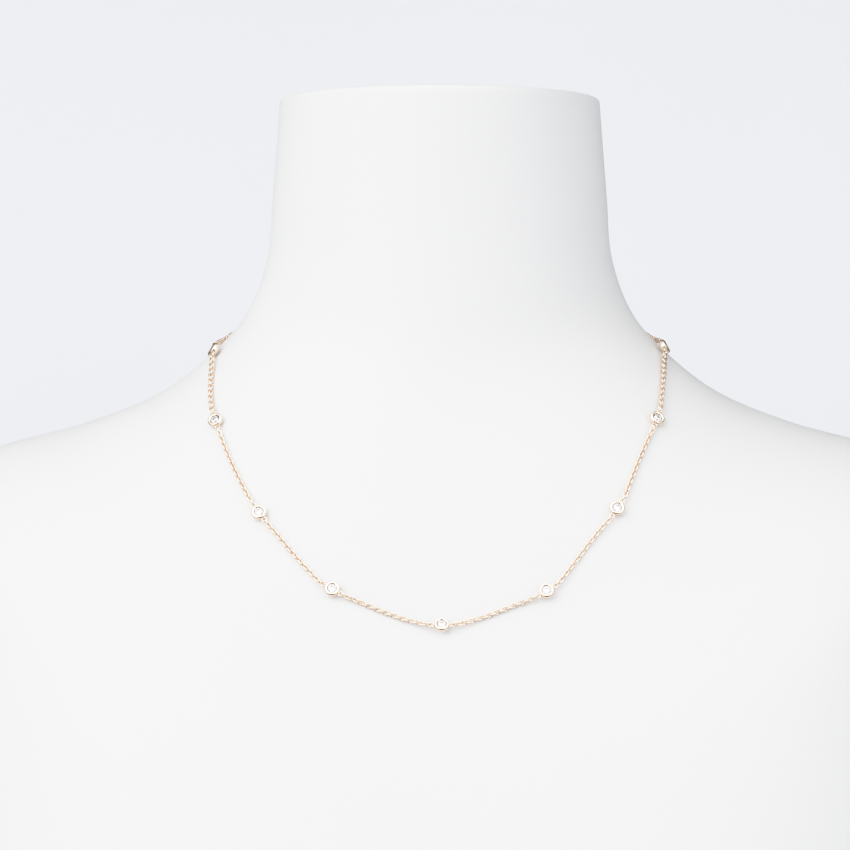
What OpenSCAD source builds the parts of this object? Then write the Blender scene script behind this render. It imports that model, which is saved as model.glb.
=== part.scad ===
// Station choker on a plain neck bust.
// Thirteen round stones in bezels ride on one fine cable chain, which lies on the bust as a whole loop.
// Lengths are in millimetres. The bust stands on z = 0, faces -y, and its box is centred on the z axis.

/* [Bust] */
// Width of the neck at its middle; the whole bust scales with it
neck_w = 97.6; // [90:0.2:110]
// Rounding of the neck's top edge
neck_edge = 1.2; // [0.8:0.1:2]
// Rounding of the base's edge
base_edge = 3; // [2:0.5:3]
// Mesh rings between two rows of the section table
rings_between = 3; // [2:1:4]
// Mesh points round each ring
ring_sides = 64; // [48:4:72]

/* [Bezels] */
// Outer diameter of a bezel
bezel_d = 4.3; // [4.2:0.05:4.5]
// How far a bezel reaches behind the chain line
bezel_back = 1.05; // [1.05:0.05:1.2]
// Diameter of a bezel's flat back, to which its wall tapers
bezel_back_d = 3; // [2.8:0.1:3.2]
// Height of the rim's crest over the chain line
rim_top = 0.8; // [0.8:0.05:0.95]
// Diameter of the opening inside the rim
lip_d = 2.5; // [2.4:0.02:2.54]
// Diameter of the hole through the back of a bezel
back_hole_d = 1.6; // [1.3:0.1:1.8]
// Outer diameter of the soldered side loops
loop_d = 1.7; // [1.6:0.1:2]
// Wire diameter of the soldered side loops
loop_wire = 0.38; // [0.3:0.02:0.44]

/* [Stones] */
// Diameter at the girdle
stone_d = 2.7; // [2.64:0.02:2.74]
// Width of the flat table
table_d = 1.5; // [1.4:0.05:1.6]
// Height of the crown
crown_h = 0.42; // [0.36:0.02:0.44]
// Thickness of the girdle
girdle_h = 0.1; // [0.06:0.02:0.12]
// Depth of the pavilion
pavilion_h = 1.15; // [1:0.05:1.2]
// Height of the girdle's lower edge over the chain line
girdle_z = 0.23; // [0.22:0.01:0.24]
// Clearance between a stone and its bezel
seat_gap = 0.1; // [0.1:0.01:0.12]

/* [Chain] */
// Outer diameter of the chain
chain_d = 1.2; // [1:0.1:1.4]
// Clearance between two pieces in line along the chain
end_gap = 0.2; // [0.15:0.05:0.3]
// Clearance between the chain and the bust in mid stretch
chain_gap = 0.15; // [0.15:0.05:0.4]
// Clearance between the bezels or the clasp and the bust
skin_gap = 0.25; // [0.2:0.05:0.4]
// Rings of each chain stretch's tube
tube_rings = 6; // [5:1:7]

/* [Clasp] */
// Outer diameter of the spring ring
clasp_d = 5.5; // [5:0.1:6.5]
// Wire diameter of the spring ring
clasp_wire = 0.9; // [0.8:0.1:1]
// Outer diameter of the jump ring
jump_d = 3.4; // [3.3:0.1:3.8]
// Wire diameter of the jump ring
jump_wire = 0.5; // [0.4:0.1:0.5]
// How far the jump ring is turned about the chain line, out of the spring ring's plane
jump_turn = 60; // [55:1:70]
// Slack between the spring ring and the jump ring
jump_slack = 0.15; // [0.15:0.05:0.25]

/* [Hidden] */
section_neck_w = 97.6;
section_h = 235.2;
size_k = neck_w / section_neck_w;
top_z = section_h - neck_edge;
base_z = base_edge;

// Rows of the bust from just under the neck's top edge down to just over the base's edge.
// Columns: half width, y at the sides, z at the sides, y in front, z in front, y behind, z behind, roundness.
// A roundness of 2 makes an ellipse, and a larger one makes it squarer.
SECTIONS = [
    [46.3, -0.5, top_z, -53.5, top_z, 43.5, top_z, 2.00],
    [48.4, -0.5, 206.5, -48.0, 203.5, 44.0, 209.0, 2.00],
    [49.8, 0.5, 190.0, -45.0, 180.5, 46.0, 197.0, 2.00],
    [55.3, 3.0, 174.7, -44.0, 161.0, 49.5, 185.0, 2.00],
    [64.8, 4.5, 163.2, -46.5, 144.0, 55.0, 173.0, 2.20],
    [80.5, 6.0, 151.0, -52.5, 125.5, 64.0, 157.0, 2.30],
    [102.5, 9.0, 142.0, -59.5, 107.5, 72.5, 140.0, 2.20],
    [128.8, 12.0, 134.8, -65.5, 88.5, 79.0, 119.0, 2.30],
    [141.5, 12.0, 127.0, -72.0, 70.0, 83.0, 99.0, 2.40],
    [146.5, 12.0, 108.0, -78.5, 50.0, 85.0, 75.0, 2.50],
    [147.5, 12.0, 54.0, -83.5, 26.0, 86.0, 38.0, 2.60],
    [147.0, 12.0, base_z, -86.0, base_z, 86.0, base_z, 2.60],
];

// Places along the loop: the clasp at the nape, then the thirteen stations in turn.
// Columns: angle from the front in degrees, row of SECTIONS, lean of the piece in degrees,
// and how far the stretch after it bows downwards, in rows.
PLACES = [
    [-180.0, 3.10, 20, 0.00],
    [-142.2, 3.26, 0, 0.00],
    [-108.4, 3.68, 0, 0.00],
    [-76.4, 4.06, -17, 0.05],
    [-50.1, 4.92, 0, -0.04],
    [-27.6, 5.91, 4, -0.02],
    [-11.6, 6.71, 10, -0.06],
    [0.05, 7.13, 20, -0.07],
    [11.2, 6.73, 10, -0.04],
    [27.3, 5.83, 4, -0.07],
    [48.7, 4.84, 0, 0.00],
    [77.8, 4.00, -17, 0.00],
    [109.2, 3.68, 0, 0.00],
    [142.6, 3.26, 0, 0.00],
];
stations = len(PLACES) - 1;

GOLD = [0.93, 0.76, 0.66];

loop_r = (loop_d - loop_wire) / 2;
loop_sink = 0.06;
bezel_loop_x = bezel_d / 2 + loop_r - loop_sink;
bezel_reach = bezel_loop_x + loop_r;
station_rise = bezel_back + skin_gap;
chain_rise = chain_d / 2 + chain_gap;

clasp_r = (clasp_d - clasp_wire) / 2;
jump_r = (jump_d - jump_wire) / 2;
clasp_loop_x = clasp_d / 2 + loop_r - loop_sink;
clasp_reach = clasp_loop_x + loop_r;
jump_x = clasp_r - (clasp_wire + jump_wire) / 2 - jump_slack + jump_r;
jump_reach = jump_x + jump_r;
clasp_lean = PLACES[0][2];
clasp_rise = skin_gap + max(
    clasp_r * sin(clasp_lean) + clasp_wire / 2,
    jump_r * sin(jump_turn - clasp_lean) + jump_wire / 2
);

function signed_power(v, e) = sign(v) * pow(abs(v), e);

function unit(v) = v / norm(v);

// Smooth curve through four rows of a table, from p1 at t = 0 to p2 at t = 1
function through(p0, p1, p2, p3, t) =
    (2 * p1 + (p2 - p0) * t + (2 * p0 - 5 * p1 + 4 * p2 - p3) * t * t
     + (3 * p1 - p0 - 3 * p2 + p3) * t * t * t) / 2;

function section(row) =
    let (last = len(SECTIONS) - 1)
    let (i = min(floor(row), last - 1))
    through(SECTIONS[max(i - 1, 0)], SECTIONS[i], SECTIONS[i + 1], SECTIONS[min(i + 2, last)], row - i);

// Point of a section's outline at an angle from the front
function outline(s, angle) =
    let (e = 2 / s[7])
    let (across = sin(angle))
    let (ahead = cos(angle))
    let (depth = ahead > 0 ? s[1] - s[3] : s[5] - s[1])
    let (end_z = ahead > 0 ? s[4] : s[6])
    size_k * [
        s[0] * signed_power(across, e),
        s[1] - depth * signed_power(ahead, e),
        s[2] * across * across + end_z * ahead * ahead,
    ];

function skin(angle, row) = outline(section(row), angle);

// A section carried round a rounded edge by an angle, up if it is positive and down if not
function edge_row(s, r, a) =
    let (inset = r * (1 - cos(a)))
    let (lift = r * sin(a))
    s + [-inset, 0, lift, inset, lift, -inset, lift, 0];

function skin_normal(angle, row) =
    let (d_angle = 0.1)
    let (d_row = 0.002)
    let (round_it = skin(angle + d_angle, row) - skin(angle - d_angle, row))
    let (down_it = skin(angle, row + d_row) - skin(angle, row - d_row))
    unit(cross(down_it, round_it));

// Row of PLACES for any whole number, with the angle carried on past a full turn
function place(i) =
    let (turns = floor(i / len(PLACES)))
    PLACES[i - turns * len(PLACES)] + [360 * turns, 0, 0, 0];

// Angle and row of the chain line at t between place i and the next
function line_at(i, t) =
    let (p = through(place(i - 1), place(i), place(i + 1), place(i + 2), t))
    [p[0], p[1] + place(i)[3] * sin(180 * t)];

function rise_at_place(i) =
    i % len(PLACES) == 0 ? clasp_rise : station_rise + bezel_back_d / 2 * sin(abs(place(i)[2]));

// Height of the chain line over the skin: low in mid stretch, up to each piece at its ends
function rise(i, t) =
    chain_rise + (rise_at_place(i) - chain_rise) * pow(1 - t, 4)
    + (rise_at_place(i + 1) - chain_rise) * pow(t, 4);

function line_point(i, t) =
    let (a = line_at(i, t))
    skin(a[0], a[1]) + skin_normal(a[0], a[1]) * rise(i, t);

// Frame of a place: origin, way along the chain, way across it and way out, with the lean
function place_frame(i) =
    let (a = place(i))
    let (out = skin_normal(a[0], a[1]))
    let (step = 0.02)
    let (raw = skin(line_at(i, step)[0], line_at(i, step)[1])
             - skin(line_at(i - 1, 1 - step)[0], line_at(i - 1, 1 - step)[1]))
    let (along = unit(raw - out * (raw * out)))
    let (up = cross(out, along))
    let (lean = a[2])
    [
        skin(a[0], a[1]) + out * rise_at_place(i),
        along,
        up * cos(lean) - out * sin(lean),
        out * cos(lean) + up * sin(lean),
    ];

module at_place(i) {
    f = place_frame(i);
    multmatrix([
        [f[1][0], f[2][0], f[3][0], f[0][0]],
        [f[1][1], f[2][1], f[3][1], f[0][1]],
        [f[1][2], f[2][2], f[3][2], f[0][2]],
        [0, 0, 0, 1],
    ])
        children();
}

module ring(r, wire) {
    rotate_extrude($fn = 48)
        translate([r, 0])
            circle(d = wire, $fn = 24);
}

// Closed mesh from rings of equally many points, which run anticlockwise seen from the last ring
module skin_mesh(rings) {
    n = len(rings[0]);
    last = (len(rings) - 1) * n;
    sides = [
        for (k = [0:len(rings) - 2])
            for (j = [0:n - 1])
                let (a = k * n + j)
                let (b = k * n + (j + 1) % n)
                each [[a, a + n, b + n], [a, b + n, b]]
    ];
    first_cap = [for (j = [0:n - 1]) j];
    last_cap = [for (j = [n - 1:-1:0]) last + j];
    polyhedron(points = [for (r = rings) each r], faces = concat([first_cap], sides, [last_cap]));
}

module bust() {
    last_row = len(SECTIONS) - 1;
    rows = concat(
        [for (a = [90:-30:30]) edge_row(section(last_row), base_edge, -a)],
        [for (k = [last_row * rings_between:-1:0]) section(k / rings_between)],
        [for (a = [30:30:90]) edge_row(section(0), neck_edge, a)]
    );
    color("white")
        skin_mesh([
            for (s = rows)
                [for (j = [0:ring_sides - 1]) outline(s, 360 * j / ring_sides)]
        ]);
}

// Half section of a bezel: a cup that tapers to its back, with a round rim that holds the stone's girdle
module bezel_section() {
    outer = bezel_d / 2;
    rim_end = 150;
    rim_r = (outer - lip_d / 2) / (1 - cos(rim_end));
    rim_z = rim_top - rim_r;
    rim = [for (a = [0:15:rim_end]) [outer - rim_r + rim_r * cos(a), rim_z + rim_r * sin(a)]];
    taper_z = -0.3;
    wall_in = stone_d / 2 + seat_gap;
    seat_z = girdle_z - 2 * seat_gap;
    polygon(concat(
        [
            [back_hole_d / 2, -bezel_back],
            [bezel_back_d / 2, -bezel_back],
            [outer, taper_z],
        ],
        rim,
        [
            [wall_in, girdle_z + girdle_h + seat_gap],
            [wall_in, seat_z],
            [back_hole_d / 2, seat_z - (wall_in - back_hole_d / 2)],
        ]
    ));
}

module bezel(i) {
    color(GOLD)
        at_place(i) {
            rotate_extrude($fn = 64)
                bezel_section();
            for (side = [-1, 1])
                translate([side * bezel_loop_x, 0, 0])
                    ring(loop_r, loop_wire);
        }
}

// Point of a stone at an angle, a radius and a height
function gem(angle, r, z) = [r * cos(angle), r * sin(angle), z];

// Round brilliant: table, star, kite and girdle facets above, and the like below down to a point
module brilliant() {
    mains = 8;
    turn = 360 / mains;
    girdle_r = stone_d / 2;
    table_r = table_d / 2;
    star_reach = 0.55;
    low_reach = 0.3;
    star_r = table_r + (girdle_r - table_r) * star_reach;
    low_r = girdle_r * low_reach;
    top_z = girdle_z + girdle_h + crown_h;
    upper_z = girdle_z + girdle_h;
    culet_z = girdle_z - pavilion_h;
    // The star and lower points lie in the planes of the main facets
    star_z = top_z - crown_h * (star_r * cos(turn / 2) - table_r) / (girdle_r - table_r);
    low_z = culet_z + pavilion_h * low_r * cos(turn / 2) / girdle_r;
    table = [for (i = [0:mains - 1]) gem(turn * i, table_r, top_z)];
    stars = [for (i = [0:mains - 1]) gem(turn * (i + 0.5), star_r, star_z)];
    upper = [for (i = [0:2 * mains - 1]) gem(turn * i / 2, girdle_r, upper_z)];
    lower = [for (i = [0:2 * mains - 1]) gem(turn * i / 2, girdle_r, girdle_z)];
    lows = [for (i = [0:mains - 1]) gem(turn * (i + 0.5), low_r, low_z)];
    s0 = mains;
    u0 = 2 * mains;
    l0 = 4 * mains;
    w0 = 6 * mains;
    culet = 7 * mains;
    faces = concat(
        [[for (i = [mains - 1:-1:0]) i]],
        [
            for (i = [0:mains - 1])
                let (next = (i + 1) % mains)
                let (before = (i + mains - 1) % mains)
                let (mid = 2 * i + 1)
                let (far = (2 * i + 2) % (2 * mains))
                each [
                    [i, next, s0 + i],
                    [i, s0 + i, u0 + 2 * i],
                    [i, u0 + 2 * i, s0 + before],
                    [s0 + i, u0 + mid, u0 + 2 * i],
                    [s0 + i, u0 + far, u0 + mid],
                    [u0 + 2 * i, u0 + mid, l0 + mid],
                    [u0 + 2 * i, l0 + mid, l0 + 2 * i],
                    [u0 + mid, u0 + far, l0 + far],
                    [u0 + mid, l0 + far, l0 + mid],
                    [w0 + i, l0 + 2 * i, l0 + mid],
                    [w0 + i, l0 + mid, l0 + far],
                    [culet, l0 + 2 * i, w0 + i],
                    [culet, w0 + before, l0 + 2 * i],
                ]
        ]
    );
    polyhedron(points = concat(table, stars, upper, lower, lows, [[0, 0, culet_z]]), faces = faces);
}

module stone(i) {
    color([0.96, 0.97, 0.99])
        at_place(i)
            brilliant();
}

// Reach of the piece at a place along the chain, towards the next place or back
function reach_after(i) = i % len(PLACES) == 0 ? jump_reach + jump_wire / 2 : bezel_reach + loop_wire / 2;

function reach_before(i) = i % len(PLACES) == 0 ? clasp_reach + loop_wire / 2 : bezel_reach + loop_wire / 2;

// Chain stretch after place i: a tube from just clear of one piece to just clear of the next.
// Its ends stand on the lines through the two pieces, and the correction fades along the stretch.
module chain(i) {
    from = place_frame(i);
    to = place_frame(i + 1);
    a_end = from[0] + from[1] * (reach_after(i) + end_gap);
    b_end = to[0] - to[1] * (reach_before(i + 1) + end_gap);
    span = norm(to[0] - from[0]);
    t_a = (reach_after(i) + end_gap) / span;
    t_b = 1 - (reach_before(i + 1) + end_gap) / span;
    a_fix = a_end - line_point(i, t_a);
    b_fix = b_end - line_point(i, t_b);
    centres = [
        for (k = [0:tube_rings - 1])
            let (f = k / (tube_rings - 1))
            line_point(i, t_a + (t_b - t_a) * f) + a_fix * pow(1 - f, 3) + b_fix * pow(f, 3)
    ];
    sides = 8;
    color(GOLD)
        skin_mesh([
            for (k = [0:tube_rings - 1])
                let (way = unit(centres[min(k + 1, tube_rings - 1)] - centres[max(k - 1, 0)]))
                let (f = k / (tube_rings - 1))
                let (raw = from[3] * (1 - f) + to[3] * f)
                let (out = unit(raw - way * (raw * way)))
                let (across = cross(out, way))
                [
                    for (j = [0:sides - 1])
                        let (a = 360 * (j + 0.5) / sides)
                        centres[k] + (across * cos(a) + out * sin(a)) * chain_d / 2
                ]
        ]);
}

module clasp() {
    color(GOLD)
        at_place(0) {
            ring(clasp_r, clasp_wire);
            translate([-clasp_loop_x, 0, 0])
                ring(loop_r, loop_wire);
        }
}

module jump_ring() {
    color(GOLD)
        at_place(0)
            translate([jump_x, 0, 0])
                rotate([jump_turn, 0, 0])
                    ring(jump_r, jump_wire);
}

bust();
clasp();
jump_ring();
for (i = [1:stations])
    bezel(i);
for (i = [1:stations])
    stone(i);
for (i = [1:stations + 1])
    chain(i - 1);
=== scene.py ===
import math
import random

import bpy
import numpy as np
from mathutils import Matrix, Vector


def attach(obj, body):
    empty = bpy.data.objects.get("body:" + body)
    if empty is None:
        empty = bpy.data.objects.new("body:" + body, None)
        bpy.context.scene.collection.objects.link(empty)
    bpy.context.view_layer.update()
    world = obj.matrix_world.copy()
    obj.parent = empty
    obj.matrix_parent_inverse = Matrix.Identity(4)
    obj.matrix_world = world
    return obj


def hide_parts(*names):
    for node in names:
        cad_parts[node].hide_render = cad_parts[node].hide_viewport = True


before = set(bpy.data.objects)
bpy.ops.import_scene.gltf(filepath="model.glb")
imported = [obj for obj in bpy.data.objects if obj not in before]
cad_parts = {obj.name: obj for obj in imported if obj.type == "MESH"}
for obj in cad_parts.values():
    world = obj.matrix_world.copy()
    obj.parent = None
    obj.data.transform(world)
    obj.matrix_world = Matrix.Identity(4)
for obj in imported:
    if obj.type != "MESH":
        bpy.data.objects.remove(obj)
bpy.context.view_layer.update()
MM = 0.001

# ---------------------------------------------------------------- camera

CAMERA_PLACE = (-0.00425, -1.140, 0.1411)
SENSOR_WIDTH, LENS = 36.0, 166.63
CLIP_START, CLIP_END = 0.01, 50.0
LEVEL = (math.radians(90), 0, 0)

cam_data = bpy.data.cameras.new("camera")
cam_data.sensor_width = SENSOR_WIDTH
cam_data.lens = LENS
cam_data.clip_start = CLIP_START
cam_data.clip_end = CLIP_END
camera = bpy.data.objects.new("camera", cam_data)
camera.location = CAMERA_PLACE
camera.rotation_euler = LEVEL
bpy.context.scene.collection.objects.link(camera)
bpy.context.scene.camera = camera

# A soft shoulder for the lights, as a photograph has: brightness in the scene, brightness shown
SHOULDER = [
    (0.25, 0.25),
    (0.5, 0.5),
    (0.65, 0.64),
    (0.8, 0.755),
    (1.0, 0.86),
    (1.25, 0.925),
    (1.6, 0.965),
]
BRIGHTEST = 2.0
ALL_COLOURS = 3
view = bpy.context.scene.view_settings
view.view_transform = "Standard"
view.use_curve_mapping = True
view.curve_mapping.white_level = (BRIGHTEST, BRIGHTEST, BRIGHTEST)
view.curve_mapping.extend = "HORIZONTAL"
for bright, shown in SHOULDER:
    view.curve_mapping.curves[ALL_COLOURS].points.new(bright / BRIGHTEST, shown)
view.curve_mapping.update()

# ---------------------------------------------------------------- form and route

NECK_EDGE = 1.2
BASE_EDGE = 3.0
TOP_Z = 235.2 - NECK_EDGE
BASE_Z = BASE_EDGE

# Half width, y at the sides, z at the sides, y in front, z in front, y behind, z behind, roundness
SECTIONS = np.array([
    [46.3, -0.5, TOP_Z, -53.5, TOP_Z, 43.5, TOP_Z, 2.00],
    [48.4, -0.5, 206.5, -48.0, 203.5, 44.0, 209.0, 2.00],
    [49.8, 0.5, 190.0, -45.0, 180.5, 46.0, 197.0, 2.00],
    [55.3, 3.0, 174.7, -44.0, 161.0, 49.5, 185.0, 2.00],
    [64.8, 4.5, 163.2, -46.5, 144.0, 55.0, 173.0, 2.20],
    [80.5, 6.0, 151.0, -52.5, 125.5, 64.0, 157.0, 2.30],
    [102.5, 9.0, 142.0, -59.5, 107.5, 72.5, 140.0, 2.20],
    [128.8, 12.0, 134.8, -65.5, 88.5, 79.0, 119.0, 2.30],
    [141.5, 12.0, 127.0, -72.0, 70.0, 83.0, 99.0, 2.40],
    [146.5, 12.0, 108.0, -78.5, 50.0, 85.0, 75.0, 2.50],
    [147.5, 12.0, 54.0, -83.5, 26.0, 86.0, 38.0, 2.60],
    [147.0, 12.0, BASE_Z, -86.0, BASE_Z, 86.0, BASE_Z, 2.60],
])

# The clasp at the nape, then the stations in turn.
# Angle from the front in degrees, row of SECTIONS, lean of the piece, bow of the stretch after it
PLACES = np.array([
    [-180.0, 3.10, 20, 0.00],
    [-142.2, 3.26, 0, 0.00],
    [-108.4, 3.68, 0, 0.00],
    [-76.4, 4.06, -17, 0.05],
    [-50.1, 4.92, 0, -0.04],
    [-27.6, 5.91, 4, -0.02],
    [-11.6, 6.71, 10, -0.06],
    [0.05, 7.13, 20, -0.07],
    [11.2, 6.73, 10, -0.04],
    [27.3, 5.83, 4, -0.07],
    [48.7, 4.84, 0, 0.00],
    [77.8, 4.00, -17, 0.00],
    [109.2, 3.68, 0, 0.00],
    [142.6, 3.26, 0, 0.00],
])
COUNT = len(PLACES)

BEZEL_D, BEZEL_BACK, BEZEL_BACK_D, SKIN_GAP = 4.3, 1.05, 3.0, 0.25
RIM_TOP, LIP_D, BACK_HOLE_D, TAPER_Z = 0.8, 2.5, 1.6, -0.3
STONE_D, GIRDLE_Z, GIRDLE_H, SEAT_GAP = 2.7, 0.23, 0.1, 0.1
LOOP_WIRE, LOOP_R, LOOP_SINK = 0.38, 0.66, 0.06
CLASP_D, CLASP_R, CLASP_WIRE = 5.5, 2.3, 0.9
JUMP_R, JUMP_WIRE, JUMP_TURN, JUMP_SLACK = 1.45, 0.5, 60.0, 0.15
BEZEL_REACH = BEZEL_D / 2 + 2 * LOOP_R - LOOP_SINK
CLASP_REACH = CLASP_D / 2 + 2 * LOOP_R - LOOP_SINK
JUMP_REACH = CLASP_R - (CLASP_WIRE + JUMP_WIRE) / 2 - JUMP_SLACK + 2 * JUMP_R

# The chain's links: wire, outer length and width, and the distance from one to the next
LINK_WIRE, LINK_LENGTH, LINK_WIDTH, LINK_PITCH = 0.44, 2.16, 1.56, 1.2
# Slack of an end link in its ring, and height of the links' middles over the skin
LINK_SLACK, LINK_RISE = 0.03, 0.66
# Turn of the links to either side, the scatter of it, and the number of links over which it fades
# towards a bezel's plane or the jump ring's
LINK_TURN, TURN_SCATTER, BEZEL_FADE, JUMP_FADE = 45, 5, 2.5, 5.0
LINK_STEPS, LINK_SIDES = 28, 12
# Points along a stretch, and the power by which its ends' shifts fade
ROUTE_POINTS, END_POWER = 161, 5
DICE_SEED = 11


def sind(a):
    return math.sin(math.radians(a))


def cosd(a):
    return math.cos(math.radians(a))


CLASP_LEAN = PLACES[0][2]
CLASP_RISE = SKIN_GAP + max(
    CLASP_R * sind(CLASP_LEAN) + CLASP_WIRE / 2,
    JUMP_R * sind(JUMP_TURN - CLASP_LEAN) + JUMP_WIRE / 2,
)


def through(p0, p1, p2, p3, t):
    """Smooth curve through four rows of a table, from p1 at t = 0 to p2 at t = 1."""
    return (2 * p1 + (p2 - p0) * t + (2 * p0 - 5 * p1 + 4 * p2 - p3) * t * t
            + (3 * p1 - p0 - 3 * p2 + p3) * t ** 3) / 2


def section(row):
    """Row of SECTIONS, for whole numbers and between them."""
    last = len(SECTIONS) - 1
    i = min(math.floor(row), last - 1)
    return through(SECTIONS[max(i - 1, 0)], SECTIONS[i], SECTIONS[i + 1],
                   SECTIONS[min(i + 2, last)], row - i)


def outline(s, angle):
    """Point of a section's outline at an angle from the front."""
    half_wide, side_y, side_z, front_y, front_z, back_y, back_z, roundness = s
    e = 2 / roundness
    across, ahead = sind(angle), cosd(angle)
    depth = side_y - front_y if ahead > 0 else back_y - side_y
    end_z = front_z if ahead > 0 else back_z
    return np.array([
        half_wide * math.copysign(abs(across) ** e, across),
        side_y - depth * math.copysign(abs(ahead) ** e, ahead),
        side_z * across * across + end_z * ahead * ahead,
    ])


def skin(angle, row):
    """Point of the bust's surface."""
    return outline(section(row), angle)


def unit(v):
    return v / np.linalg.norm(v)


def skin_normal(angle, row):
    """Way out of the bust's surface."""
    d_angle, d_row = 0.1, 0.002
    down_it = skin(angle, row + d_row) - skin(angle, row - d_row)
    round_it = skin(angle + d_angle, row) - skin(angle - d_angle, row)
    return unit(np.cross(down_it, round_it))


def place(i):
    """Row of PLACES for any whole number, with the angle carried on past a full turn."""
    turns = i // COUNT
    return PLACES[i - turns * COUNT] + np.array([360.0 * turns, 0, 0, 0])


def line_at(i, t):
    """Angle and row of the chain line at t between place i and the next."""
    angle, row, _, _ = through(place(i - 1), place(i), place(i + 1), place(i + 2), t)
    bow = place(i)[3]
    return angle, row + bow * sind(180 * t)


def rise_at_place(i):
    """Height of the chain line over the skin at a place."""
    if i % COUNT == 0:
        return CLASP_RISE
    lean = place(i)[2]
    return BEZEL_BACK + SKIN_GAP + BEZEL_BACK_D / 2 * sind(abs(lean))


def place_frame(i):
    """Origin of a place, way along the chain, way across it and way out."""
    angle, row, lean, _ = place(i)
    out = skin_normal(angle, row)
    step = 0.02
    raw = skin(*line_at(i, step)) - skin(*line_at(i - 1, 1 - step))
    along = unit(raw - out * (raw @ out))
    up = np.cross(out, along)
    return (skin(angle, row) + out * rise_at_place(i), along,
            up * cosd(lean) - out * sind(lean), out * cosd(lean) + up * sind(lean))


# ---------------------------------------------------------------- meshes


def mesh_object(name, points, faces):
    """A new smooth object from points in millimetres."""
    mesh = bpy.data.meshes.new(name)
    mesh.from_pydata((np.asarray(points) * MM).tolist(), [], faces)
    mesh.polygons.foreach_set("use_smooth", [True] * len(mesh.polygons))
    mesh.update()
    obj = bpy.data.objects.new(name, mesh)
    bpy.context.scene.collection.objects.link(obj)
    return obj


def round_steps(count):
    """Angles of equal steps once round."""
    return [360 * k / count for k in range(count)]


def strip_faces(rings, sides):
    """Quads between rings of points, which run anticlockwise seen from the last ring."""
    faces = []
    for a0 in range(0, (rings - 1) * sides, sides):
        for j in range(sides):
            n = (j + 1) % sides
            faces.append((a0 + j, a0 + n, a0 + sides + n, a0 + sides + j))
    return faces


def closed_faces(rings, sides, first=0):
    """Quads between rings of points that run the other way, the last joined to the first."""
    faces = []
    for k in range(rings):
        a0 = first + k * sides
        b0 = first + (k + 1) % rings * sides
        for j in range(sides):
            n = (j + 1) % sides
            faces.append((b0 + j, b0 + n, a0 + n, a0 + j))
    return faces


def edge_row(s, r, a):
    """A section carried round a rounded edge by an angle, up if it is positive and down if not."""
    inset, lift = r * (1 - cosd(a)), r * sind(a)
    return s + np.array([-inset, 0, lift, inset, lift, -inset, lift, 0])


def bust_form():
    """The bust again, from the same sections, fine enough to be smooth."""
    sides, between, edge_steps = 256, 12, 8
    last_row = len(SECTIONS) - 1
    steps = [90 * k / edge_steps for k in range(edge_steps, 0, -1)]
    rows = [edge_row(section(last_row), BASE_EDGE, -a) for a in steps]
    rows += [section(k / between) for k in range(last_row * between, -1, -1)]
    rows += [edge_row(section(0), NECK_EDGE, a) for a in reversed(steps)]
    points = [outline(s, a) for s in rows for a in round_steps(sides)]
    faces = strip_faces(len(rows), sides)
    top = (len(rows) - 1) * sides
    faces.append(tuple(range(sides - 1, -1, -1)))
    faces.append(tuple(range(top, top + sides)))
    obj = mesh_object("bust_form", points, faces)
    for cap in obj.data.polygons[-2:]:
        cap.use_smooth = False
    return obj


def rounded(corners):
    """Points of an outline whose corners (r, z, rounding) are cut by arcs."""
    arc_steps = 5
    points = []
    for k, (x, z, r) in enumerate(corners):
        here = np.array([x, z])
        if not r:
            points.append(here)
            continue
        back = unit(np.array(corners[k - 1][:2]) - here)
        on = unit(np.array(corners[(k + 1) % len(corners)][:2]) - here)
        half = math.acos(max(-1.0, min(1.0, back @ on))) / 2
        centre = here + unit(back + on) * r / math.sin(half)
        first, last = (here + w * r / math.tan(half) - centre for w in (back, on))
        for j in range(arc_steps + 1):
            f = j / arc_steps
            points.append(centre + r * unit(first * (1 - f) + last * f))
    return points


def loop_ring(x, first):
    """Points of a soldered side loop, in its bezel's plane, and its faces from a first point on."""
    around, sides = 40, 16
    points = []
    for a in round_steps(around):
        for b in round_steps(sides):
            r = LOOP_R + LOOP_WIRE / 2 * cosd(b)
            points.append((x + r * cosd(a), r * sind(a), LOOP_WIRE / 2 * sind(b)))
    return points, closed_faces(around, sides, first)


def bezel_form(i):
    """A bezel again, with its edges broken and its rim smooth, and its two loops."""
    around, rim_end, rim_steps = 96, 150, 20
    outer = BEZEL_D / 2
    rim_r = (outer - LIP_D / 2) / (1 - cosd(rim_end))
    rim_z = RIM_TOP - rim_r
    wall_in = STONE_D / 2 + SEAT_GAP
    seat_z = GIRDLE_Z - 2 * SEAT_GAP
    hole = BACK_HOLE_D / 2
    rim = [rim_end * k / rim_steps for k in range(rim_steps + 1)]
    # Corners of the half section: radius, height, rounding
    line = rounded([
        (hole, -BEZEL_BACK, 0.05),
        (BEZEL_BACK_D / 2, -BEZEL_BACK, 0.15),
        (outer, TAPER_Z, 0.3),
        *((outer - rim_r + rim_r * cosd(a), rim_z + rim_r * sind(a), 0) for a in rim),
        (wall_in, GIRDLE_Z + GIRDLE_H + SEAT_GAP, 0.02),
        (wall_in, seat_z, 0.02),
        (hole, seat_z - (wall_in - hole), 0.05),
    ])
    points = [(r * cosd(a), r * sind(a), z) for a in round_steps(around) for r, z in line]
    faces = closed_faces(around, len(line))
    for side in (-1, 1):
        more, more_faces = loop_ring(side * (outer + LOOP_R - LOOP_SINK), len(points))
        points += more
        faces += more_faces
    middle, along, up, out = place_frame(i)
    points = [middle + along * x + up * y + out * z for x, y, z in points]
    return mesh_object("bezel_form_%d" % i, points, faces)


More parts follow.
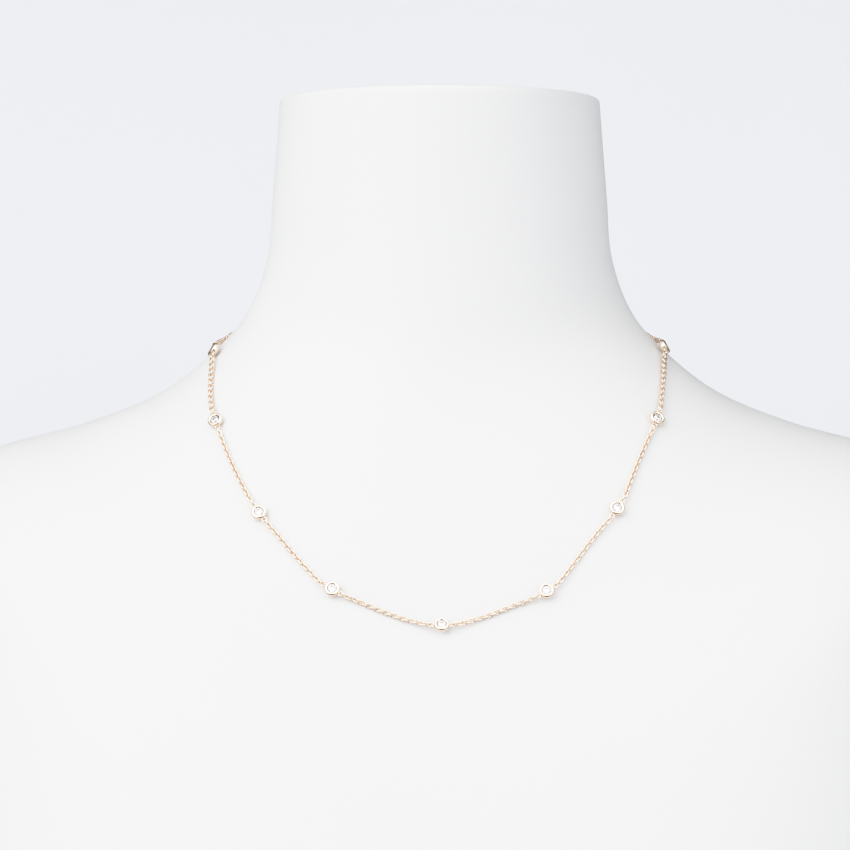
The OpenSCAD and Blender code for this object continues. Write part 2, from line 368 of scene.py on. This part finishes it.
def link_ring():
    """Centre line of a link in its own plane, with the directions out of it."""
    end_r = (LINK_WIDTH - LINK_WIRE) / 2
    straight = (LINK_LENGTH - LINK_WIRE) / 2 - end_r
    line = []
    for k in range(LINK_STEPS):
        a = 360 * (k + 0.5) / LINK_STEPS
        x = math.copysign(straight, cosd(a)) + end_r * cosd(a)
        line.append((x, end_r * sind(a), cosd(a), sind(a)))
    return np.array(line)


def route(i):
    """Links' middles along the stretch after place i, with the directions along and out."""
    here, there = place_frame(i), place_frame(i + 1)
    ring_a = JUMP_REACH - JUMP_WIRE / 2 if i % COUNT == 0 else BEZEL_REACH - LOOP_WIRE / 2
    ring_b = (CLASP_REACH if (i + 1) % COUNT == 0 else BEZEL_REACH) - LOOP_WIRE / 2
    wire_in = LINK_WIRE / 2 + LINK_SLACK
    hook = (LINK_LENGTH - LINK_WIRE) / 2
    reach_a, reach_b = ring_a - wire_in + hook, ring_b - wire_in + hook
    span = np.linalg.norm(there[0] - here[0])
    t_a, t_b = reach_a / span, 1 - reach_b / span

    def bare(t):
        """The line before its ends are shifted to the pieces."""
        angle, row = line_at(i, t)
        rise = (LINK_RISE + (rise_at_place(i) - LINK_RISE) * (1 - t) ** END_POWER
                + (rise_at_place(i + 1) - LINK_RISE) * t ** END_POWER)
        return skin(angle, row) + skin_normal(angle, row) * rise

    fix_a = here[0] + here[1] * reach_a - bare(t_a)
    fix_b = there[0] - there[1] * reach_b - bare(t_b)
    path = np.array([
        bare(t_a + (t_b - t_a) * f) + fix_a * (1 - f) ** END_POWER + fix_b * f ** END_POWER
        for f in np.linspace(0, 1, ROUTE_POINTS)])
    steps = np.linalg.norm(np.diff(path, axis=0), axis=1)
    length = np.concatenate([[0], np.cumsum(steps)])
    count = round(length[-1] / LINK_PITCH) + 1
    at = np.linspace(0, length[-1], count)
    middles = np.stack([np.interp(at, length, path[:, axis]) for axis in range(3)], 1)
    ways = np.empty_like(middles)
    ways[1:-1] = middles[2:] - middles[:-2]
    # An end link tilts halfway from its piece's line to the run, about the ring that it hangs in
    ways[0] = unit(here[1] + unit(middles[1] - middles[0]))
    ways[-1] = unit(there[1] + unit(middles[-1] - middles[-2]))
    middles[0] += (ways[0] - here[1]) * hook
    middles[-1] += (there[1] - ways[-1]) * hook
    share = (at / length[-1])[:, None]
    outs = here[3] * (1 - share) + there[3] * share
    return middles, ways, outs


def links(i, dice):
    """One stretch of cable chain: links that hang in each other, turned by turns to either side."""
    middles, ways, outs = route(i)
    count = len(middles)
    from_jump = i % COUNT == 0
    fade = JUMP_FADE if from_jump else BEZEL_FADE
    start = 90 + JUMP_TURN if from_jump else 90.0
    end = 90.0 if count % 2 else 0.0
    ring = link_ring()
    spokes = round_steps(LINK_SIDES)
    points, faces = [], []
    for k in range(count):
        way = unit(ways[k])
        out = unit(outs[k] - way * (outs[k] @ way))
        across = np.cross(out, way)
        turn = (LINK_TURN + (start - LINK_TURN) * math.exp(-k / fade)
                + (end - LINK_TURN) * math.exp(-(count - 1 - k) / fade)
                + 90 * k + dice.uniform(-TURN_SCATTER, TURN_SCATTER))
        wide = across * cosd(turn) + out * sind(turn)
        thick = np.cross(way, wide)
        faces += closed_faces(LINK_STEPS, LINK_SIDES, len(points))
        for x, y, nx, ny in ring:
            middle = middles[k] + way * x + wide * y
            spoke = way * nx + wide * ny
            points += [middle + (spoke * cosd(a) + thick * sind(a)) * LINK_WIRE / 2 for a in spokes]
    return mesh_object("links_%d" % (i + 1), points, faces)


# ---------------------------------------------------------------- materials

# A pair of colours that a material's tone wanders between
LACQUER_TONES = (0.868, 0.868, 0.862), (0.885, 0.884, 0.878)
GOLD_TONES = (0.955, 0.785, 0.650), (0.940, 0.750, 0.605)
CRYSTAL_TONES = (0.985, 0.99, 1.0), (0.965, 0.98, 1.0)
PAPER_TONES = (0.79, 0.812, 0.867), (0.81, 0.832, 0.887)
# Roughness of the metal, between its polished and its dull places
BEZEL_ROUGHNESS, LINK_ROUGHNESS = (0.07, 0.17), (0.14, 0.24)
# Scratches are drawn out and tilted
SCRATCH_SCALE, SCRATCH_TILT = (1, 0.12, 1), (0.4, 0.3, 0.7)
# As cut zirconia has
STONE_IOR = 2.15
# Sockets of a colour mix, which share their names with those of other kinds
MIX_SHARE, MIX_ONE, MIX_OTHER, MIX_RESULT = 0, 6, 7, 2


class Nodes:
    """A material's nodes, made and joined in one call each."""

    def __init__(self, name):
        self.material = bpy.data.materials.new(name)
        self.material.use_nodes = True
        self.tree = self.material.node_tree
        self.shader = self.tree.nodes["Principled BSDF"]
        self.place = self.make("ShaderNodeTexCoord").outputs["Object"]

    def give(self, socket, value):
        """Join a socket to another, or set it."""
        if isinstance(value, bpy.types.NodeSocket):
            self.tree.links.new(value, socket)
        else:
            socket.default_value = value

    def make(self, kind, inputs=None, **settings):
        node = self.tree.nodes.new(kind)
        for key, value in settings.items():
            setattr(node, key, value)
        for key, value in (inputs or {}).items():
            self.give(node.inputs[key], value)
        return node

    def noise(self, scale, detail=2.0, roughness=0.5, vector=None):
        """Noise with so many waves to the metre."""
        node = self.make("ShaderNodeTexNoise", {
            "Vector": vector or self.place, "Scale": scale, "Detail": detail,
            "Roughness": roughness})
        return node.outputs["Fac"]

    def span(self, value, given, wanted):
        """A value stretched from its given range to the wanted one."""
        node = self.make("ShaderNodeMapRange", {
            "Value": value, "From Min": given[0], "From Max": given[1],
            "To Min": wanted[0], "To Max": wanted[1]})
        return node.outputs["Result"]

    def tone(self, value, given, one, other):
        """One colour at the start of a value's given range, the other at its end."""
        node = self.make("ShaderNodeMix", {
            MIX_SHARE: self.span(value, given, (0, 1)), MIX_ONE: (*one, 1),
            MIX_OTHER: (*other, 1)}, data_type="RGBA")
        return node.outputs[MIX_RESULT]

    def bump(self, height, strength, distance, below=None):
        inputs = {"Height": height, "Strength": strength, "Distance": distance}
        if below:
            inputs["Normal"] = below
        return self.make("ShaderNodeBump", inputs).outputs["Normal"]

    def shade(self, **inputs):
        """The material, once its shader's inputs are given."""
        for key, value in inputs.items():
            self.give(self.shader.inputs[key.replace("_", " ")], value)
        return self.material


def lacquer():
    """Satin white lacquer: a faint orange peel, a cloudy tone and a few dull patches."""
    n = Nodes("bust_lacquer")
    tone = n.tone(n.noise(scale=9, detail=3), (0.35, 0.65), *LACQUER_TONES)
    patches = n.span(n.noise(scale=55, detail=4, roughness=0.6), (0.4, 0.7), (0.42, 0.5))
    peel = n.bump(n.noise(scale=620), strength=0.10, distance=0.00006)
    return n.shade(Base_Color=tone, Roughness=patches, Normal=peel)


def gold(name, roughness):
    """Pale rose gold, with hairline scratches and a slight unevenness from the polishing."""
    n = Nodes(name)
    tone = n.tone(n.noise(scale=900, detail=3), (0.35, 0.65), *GOLD_TONES)
    drawn = n.make("ShaderNodeMapping", {
        "Vector": n.place, "Scale": SCRATCH_SCALE, "Rotation": SCRATCH_TILT})
    hairs = n.noise(scale=14000, roughness=0.7, vector=drawn.outputs["Vector"])
    waves = n.bump(n.noise(scale=1500), strength=0.12, distance=0.00004)
    scratches = n.bump(hairs, strength=0.08, distance=0.000004, below=waves)
    dull = n.span(hairs, (0.3, 0.7), roughness)
    return n.shade(Base_Color=tone, Roughness=dull, Metallic=1.0, Normal=scratches)


def crystal():
    """Clear cut stone, polished, with the faintest unevenness left by the lap."""
    n = Nodes("cut_stone")
    tone = n.tone(n.noise(scale=2500), (0.3, 0.7), *CRYSTAL_TONES)
    lapped = n.span(n.noise(scale=9000), (0.3, 0.7), (0.0, 0.02))
    return n.shade(Base_Color=tone, Roughness=lapped, IOR=STONE_IOR, Transmission_Weight=1.0)


def paper():
    """Matt pale paper with a fine grain."""
    n = Nodes("floor_paper")
    tone = n.tone(n.noise(scale=2, detail=3), (0.3, 0.7), *PAPER_TONES)
    grain = n.bump(n.noise(scale=900), strength=0.1, distance=0.0001)
    return n.shade(Base_Color=tone, Roughness=0.9, Normal=grain)


def dress(obj, material):
    obj.data.materials.clear()
    obj.data.materials.append(material)


LACQUER, CRYSTAL = lacquer(), crystal()
GOLD, LINK_GOLD = gold("rose_gold", BEZEL_ROUGHNESS), gold("rose_gold_links", LINK_ROUGHNESS)

# ---------------------------------------------------------------- pieces

bust = bust_form()
dress(bust, LACQUER)
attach(bust, "root")
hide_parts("bust")

dice = random.Random(DICE_SEED)
for i in range(COUNT):
    run = links(i, dice)
    dress(run, LINK_GOLD)
    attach(run, "root")
    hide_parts("chain_%d" % (i + 1))

for i in range(1, COUNT):
    bezel = bezel_form(i)
    dress(bezel, GOLD)
    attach(bezel, "root")
    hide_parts("bezel_%d" % i)

for name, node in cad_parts.items():
    if name.startswith("stone_"):
        dress(node, CRYSTAL)
    elif name == "bust":
        dress(node, LACQUER)
    else:
        dress(node, GOLD)

# ---------------------------------------------------------------- stage and light

# Name, place, the point it faces, size, watts
LAMPS = [
    ("key", (-1.5, -1.7, 1.2), (0, 0, 0.12), (1.4, 1.4), 11.0),
    ("right", (1.9, -1.5, 0.8), (0, 0, 0.12), (1.0, 1.0), 11.9),
    ("backdrop_left", (-3.0, 1.6, 1.0), (0.4, 3.2, 0.7), (0.6, 1.6), 3.68),
]

# Ways from the bust to the light and to the camera
LEFT_FRONT, LEFT_TOP, FRONT_TOP = (-1, -1, 0.45), (-0.3, -1, 0.7), (0, -1, 1)
RIGHT_FRONT, CAMERA_WAY = (1, -1, 0.3), (0, -1, 0)
LOBE_POWER = 3.0
# Surroundings: the even part, the lobes of light (strength, way), and the most there is
LIT = (0.25, [(1.887, LEFT_FRONT), (0.69, FRONT_TOP)], 9.0)
MIRRORED = (0.20, [(2.4, LEFT_TOP), (2.8, FRONT_TOP), (0.4, RIGHT_FRONT)], 3.0)
REFRACTED = (1.2, [(1.5, FRONT_TOP)], 9.0)
# What the metal mirrors falls to this share about the camera, between the two angles from its way
DARK_SHARE, DARK_FROM, DARK_TO = 0.13, 34, 18


def sweep():
    """Pale floor that turns up into a backdrop."""
    half_wide, front, turn, radius, top, steps = 5000, -4000, 2600, 600, 3200, 16
    line = [(front, 0.0), (turn, 0.0)]
    for k in range(1, steps + 1):
        a = 90 * k / steps
        line.append((turn + radius * sind(a), radius * (1 - cosd(a))))
    line.append((turn + radius, top))
    points = [(x, y, z) for y, z in line for x in (-half_wide, half_wide)]
    faces = [(2 * k, 2 * k + 1, 2 * k + 3, 2 * k + 2) for k in range(len(line) - 1)]
    return mesh_object("floor", points, faces)


floor = sweep()
dress(floor, paper())
floor.visible_glossy = False


def area_light(name, location, target, size, watts):
    """A soft lamp that neither the camera nor the metal sees."""
    data = bpy.data.lights.new(name, "AREA")
    data.shape = "RECTANGLE"
    data.size, data.size_y = size
    data.energy = watts
    light = bpy.data.objects.new(name, data)
    light.location = location
    way = Vector(target) - Vector(location)
    light.rotation_euler = way.to_track_quat("-Z", "Y").to_euler()
    light.visible_camera = False
    light.visible_glossy = False
    bpy.context.scene.collection.objects.link(light)


for lamp in LAMPS:
    area_light(*lamp)


def soft_world():
    """White surroundings of three kinds.

    What lights the bust is softer than what the metal mirrors, which is dark about the camera.
    What shines through the stones is nearly even.
    """
    world = bpy.data.worlds.new("world")
    bpy.context.scene.world = world
    world.use_nodes = True
    tree = world.node_tree
    background = tree.nodes["Background"]
    background.inputs["Color"].default_value = (1, 1, 1, 1)
    way = tree.nodes.new("ShaderNodeTexCoord").outputs["Generated"]
    ray = tree.nodes.new("ShaderNodeLightPath").outputs

    def math_node(operation, *values):
        node = tree.nodes.new("ShaderNodeMath")
        node.operation = operation
        for socket, value in zip(node.inputs, values):
            if isinstance(value, bpy.types.NodeSocket):
                tree.links.new(value, socket)
            else:
                socket.default_value = value
        return node.outputs["Value"]

    def toward(direction):
        """Cosine of the angle between a ray and a direction."""
        node = tree.nodes.new("ShaderNodeVectorMath")
        node.operation = "DOT_PRODUCT"
        tree.links.new(way, node.inputs[0])
        node.inputs[1].default_value = Vector(direction).normalized()
        return node.outputs["Value"]

    def surroundings(even, lobes, most):
        total = even
        for strength, direction in lobes:
            facing = math_node("MAXIMUM", toward(direction), 0.0)
            lobe = math_node("POWER", facing, LOBE_POWER)
            total = math_node("MULTIPLY_ADD", lobe, strength, total)
        return math_node("MINIMUM", total, most)

    def mix(share, one, other):
        """One where the share is 0, the other where it is 1."""
        rest = math_node("SUBTRACT", 1.0, share)
        return math_node("ADD", math_node("MULTIPLY", one, rest),
                         math_node("MULTIPLY", other, share))

    dark = tree.nodes.new("ShaderNodeMapRange")
    dark.interpolation_type = "SMOOTHSTEP"
    tree.links.new(toward(CAMERA_WAY), dark.inputs["Value"])
    dark.inputs["From Min"].default_value = cosd(DARK_FROM)
    dark.inputs["From Max"].default_value = cosd(DARK_TO)
    dark.inputs["To Min"].default_value = 1.0
    dark.inputs["To Max"].default_value = DARK_SHARE
    metal = math_node("MULTIPLY", surroundings(*MIRRORED), dark.outputs["Result"])
    total = mix(ray["Is Glossy Ray"], surroundings(*LIT), metal)
    total = mix(ray["Is Transmission Ray"], total, surroundings(*REFRACTED))
    tree.links.new(total, background.inputs["Strength"])


soft_world()
